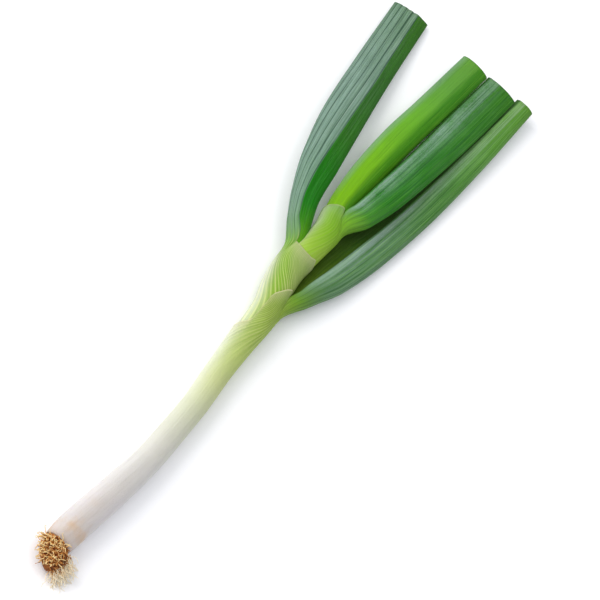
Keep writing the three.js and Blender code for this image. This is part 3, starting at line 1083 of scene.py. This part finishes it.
def root_finish(name, dark, warm, pale, shift):
    """Dry root skin, dark at the foot and paler towards its end."""
    s = Sheet(name)
    place = s.place()
    high = s.parts(place)[2]
    patchy = s.noise(place, 420.0, 2.0, 0.6)
    grain = s.noise(place, 2600.0, 2.0, 0.6)
    # roots higher above the floor are painted paler: painted light
    light = s.attribute("along") * 0.75 + (patchy - 0.5) * 1.5 + high.rise(0.005, 0.017) * 0.35 + shift
    skin = s.ramp(light.held(), ((0.0, dark), (0.45, warm), (0.9, pale)))
    skin = s.blend((grain.rise(0.45, 0.75) * 0.35).held(), skin, dark)
    return s.finish(
        Base_Color=skin, Roughness=0.72, Normal=s.bump(grain, 0.5, 0.0002), Subsurface_Weight=0.08,
    )


def cork_finish():
    """Rough brown cork."""
    s = Sheet("cork")
    place = s.place()
    high = s.parts(place)[2]
    coarse = s.noise(place, 500.0, 3.0, 0.6)
    grain = s.noise(place, 2400.0, 2.0, 0.6)
    # the higher parts of the plate are painted a little paler: painted light
    light = (coarse * 0.9 + (grain - 0.5) * 1.1 + high.rise(0.002, 0.015) * 0.18 - 0.14).held()
    skin = s.ramp(light, ((0.0, (60, 28, 6)), (0.45, (156, 88, 26)), (0.9, (226, 148, 60))))
    return s.finish(Base_Color=skin, Roughness=0.85, Normal=s.bump(grain + coarse, 0.7, 0.0004))


corky_plate(cork_finish())
growth = root_growth()
grow(
    growth, "short_roots", bed(0.4, 1.01, 14.0, 196.0),
    [f"root_{k:02d}" for k in range(1, 14)] + ["root_18", "root_19"],
    Density=0.9e6, Shortest=0.0018, Longest=0.004, Thickness=0.0004, Spread=1.0, Curl=0.004, Curls=2.2,
    Sag=0.1, Ground=0.0004, Lean=(-0.1, 0.0, 0.0), Seed=4,
    Finish=root_finish("short root skin", (44, 16, 2), (150, 72, 12), (226, 156, 72), -0.2),
)
# roots on the upper side, towards the light, in a paler golden skin: partly their own colour and partly
# painted highlight
grow(
    growth, "golden_highlit_roots", bed(0.5, 1.03, -2.0, 126.0), [],
    Density=0.6e6, Shortest=0.003, Longest=0.0064, Thickness=0.00038, Spread=1.0, Curl=0.006, Curls=2.3,
    Sag=0.15, Ground=0.0004, Lean=(-0.1, 0.2, 0.2), Seed=11,
    Finish=root_finish("golden highlit root skin", (84, 36, 4), (226, 154, 66), (255, 224, 156), 0.1),
)
grow(
    growth, "long_roots", bed(0.3, 1.02, 158.0, 215.0), [f"long_root_{k}" for k in range(14, 18)],
    Density=1.3e6, Shortest=0.004, Longest=0.0115, Thickness=0.0003, Spread=0.7, Curl=0.009, Curls=3.0,
    Sag=0.5, Ground=0.0003, Lean=(-0.35, -0.9, -0.1), Seed=21,
    Finish=root_finish("long root skin", (196, 120, 50), (255, 220, 164), (255, 244, 214), 0.35),
)

# ---------------- floor, light and camera

FLOOR_HALF = 3.0
CAMERA_DISTANCE = 1.5
CAMERA_ELEVATION = math.radians(60.0)
CAMERA_ROLL = math.radians(48.7)
CAMERA_LENS = 156.6
AIM_HEIGHT = 8.0


def floor(h):
    """A square of pale floor, h metres to each side."""
    mesh = bpy.data.meshes.new("floor")
    mesh.from_pydata([(-h, -h, GROUND), (h, -h, GROUND), (h, h, GROUND), (-h, h, GROUND)], [], [(0, 1, 2, 3)])
    mesh.materials.append(
        Sheet("pale floor").finish(Base_Color=colour((253, 253, 255)), Roughness=0.9, Specular_IOR_Level=0.1)
    )
    made = bpy.data.objects.new("floor", mesh)
    bpy.context.scene.collection.objects.link(made)


def lamp(name, place, power, tint):
    """A square soft light that shines at the middle of the frame."""
    data = bpy.data.lights.new(name, "AREA")
    data.shape = "SQUARE"
    data.size = 1.8
    data.energy = power
    data.color = tint
    made = bpy.data.objects.new(name, data)
    bpy.context.scene.collection.objects.link(made)
    made.location = place
    made.rotation_euler = (-Vector(place)).to_track_quat("-Z", "Y").to_euler()


floor(FLOOR_HALF)
lamp("window light", (-0.3, 2.0, 2.0), 51.0, (1.0, 0.985, 0.96))
lamp("top light", (0.1, 0.0, 1.9), 13.0, (1.0, 1.0, 1.0))

world = bpy.data.worlds.new("studio")
world.use_nodes = True
world.node_tree.nodes["Background"].inputs["Color"].default_value = (0.93, 0.95, 1.0, 1.0)
world.node_tree.nodes["Background"].inputs["Strength"].default_value = 0.56
bpy.context.scene.world = world
bpy.context.scene.view_settings.view_transform = "Standard"

target = Vector((COLLAR[0], COLLAR[1], AIM_HEIGHT)) * MM
forward = Vector((math.cos(CAMERA_ELEVATION), 0.0, -math.sin(CAMERA_ELEVATION)))
level_right = Vector((0.0, -1.0, 0.0))
level_up = level_right.cross(forward)
camera_right = level_up * math.cos(CAMERA_ROLL) + level_right * math.sin(CAMERA_ROLL)
camera_up = level_up * math.sin(CAMERA_ROLL) - level_right * math.cos(CAMERA_ROLL)
camera_data = bpy.data.cameras.new("camera")
camera_data.sensor_width = 36.0
camera_data.lens = CAMERA_LENS
camera_data.clip_start = 0.05
camera_data.clip_end = 20.0
camera = bpy.data.objects.new("camera", camera_data)
bpy.context.scene.collection.objects.link(camera)
turn = Matrix((camera_right, camera_up, -forward)).transposed()
camera.matrix_world = Matrix.Translation(target - forward * CAMERA_DISTANCE) @ turn.to_4x4()
bpy.context.scene.camera = camera
